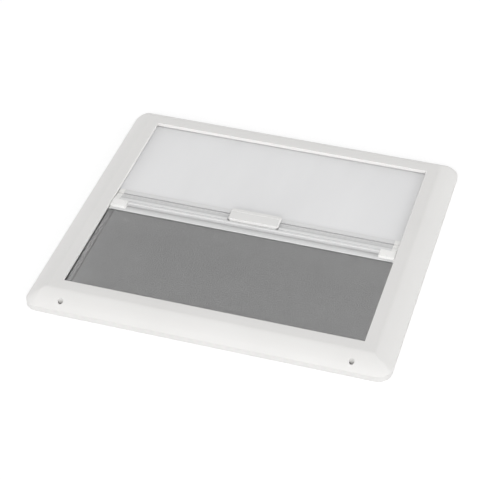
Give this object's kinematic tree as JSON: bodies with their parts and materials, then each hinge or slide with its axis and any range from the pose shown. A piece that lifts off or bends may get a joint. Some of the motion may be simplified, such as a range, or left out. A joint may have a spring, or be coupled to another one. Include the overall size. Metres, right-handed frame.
{
  "type": "roof vent frame",
  "caption": "Square cabin-side roof vent frame with a domed border, a blackout roller blind and an insect screen whose drawbars latch together and slide in side rails.",
  "frame": {"origin": "middle of the back face, which lies on the ceiling", "axes": "+X along the drawbars to the right, +Y from the insect screen to the blind, +Z into the cabin"},
  "size_m": [0.496, 0.473, 0.0268],
  "materials": {
    "frame_plastic": "satin white moulding",
    "base_plastic": "plain moulding",
    "cap_plastic": "smooth white moulding",
    "nylon": "natural nylon",
    "bar_aluminium": "white powder coat",
    "rail_aluminium": "mill finish",
    "steel": "zinc plated",
    "blind_cloth": "coated blackout cloth",
    "screen_mesh": "grey woven mesh",
    "pile": "dark brush pile"
  },
  "bodies": {
    "frame": {"cover_frame": "frame_plastic", "base_frame": "base_plastic", "guide_rail_left": "rail_aluminium", "guide_rail_right": "rail_aluminium", "blind_idle_bracket": "nylon", "blind_spring_bracket": "nylon", "screen_idle_bracket": "nylon", "screen_spring_bracket": "nylon", "blind_spring_arbor": "steel", "screen_spring_arbor": "steel", "blind_pile_seal": "pile", "screen_pile_seal": "pile", "frame_screws": "steel", "bracket_screws": "steel", "rail_screws": "steel"},
    "blind_roller": {"blind_roller_tube": "rail_aluminium", "blind_idle_plug": "nylon", "blind_spring_plug": "nylon", "blind_torsion_spring": "steel", "blind_fabric_roll": "blind_cloth"},
    "screen_roller": {"screen_roller_tube": "rail_aluminium", "screen_idle_plug": "nylon", "screen_spring_plug": "nylon", "screen_torsion_spring": "steel", "screen_fabric_roll": "screen_mesh"},
    "blind_bar": {"blind_drawbar": "bar_aluminium", "blind_end_cap_left": "cap_plastic", "blind_end_cap_right": "cap_plastic", "blackout_blind": "blind_cloth", "blind_keder": "nylon", "latch_pin": "steel", "latch_spring": "steel"},
    "screen_bar": {"screen_drawbar": "bar_aluminium", "screen_end_cap_left": "cap_plastic", "screen_end_cap_right": "cap_plastic", "insect_screen": "screen_mesh", "screen_keder": "nylon", "latch_keeper": "steel"},
    "handle": {"latch_handle": "cap_plastic"}
  },
  "joints": [
    {"name": "blind_slide", "type": "slide", "parent": "frame", "child": "blind_bar", "axis": [0, 1, 0], "range_m": [-0.1705, 0.163], "deforming": ["blackout_blind"]},
    {"name": "screen_slide", "type": "slide", "parent": "frame", "child": "screen_bar", "axis": [0, 1, 0], "range_m": [-0.1705, 0.163], "deforming": ["insect_screen"]},
    {"name": "blind_roller_spin", "type": "hinge", "parent": "frame", "child": "blind_roller", "pos_m": [0, 0.206, 0.01226], "axis": [1, 0, 0], "range_deg": [-1560, 1560]},
    {"name": "screen_roller_spin", "type": "hinge", "parent": "frame", "child": "screen_roller", "pos_m": [0, -0.206, 0.01226], "axis": [1, 0, 0], "range_deg": [-1560, 1560]},
    {"name": "latch_tilt", "type": "hinge", "parent": "blind_bar", "child": "handle", "pos_m": [0, 0.0035, 0.02115], "axis": [1, 0, 0], "range_deg": [0, 10], "stiffness_Nm_per_rad": 0.05, "springref_deg": -5.73}
  ],
  "couplings": [
    {"joint": "screen_slide", "follows": "blind_slide", "ratio": 1},
    {"joint": "blind_roller_spin", "follows": "blind_slide", "rad_per_m": -155.28},
    {"joint": "screen_roller_spin", "follows": "blind_slide", "rad_per_m": -155.28}
  ]
}
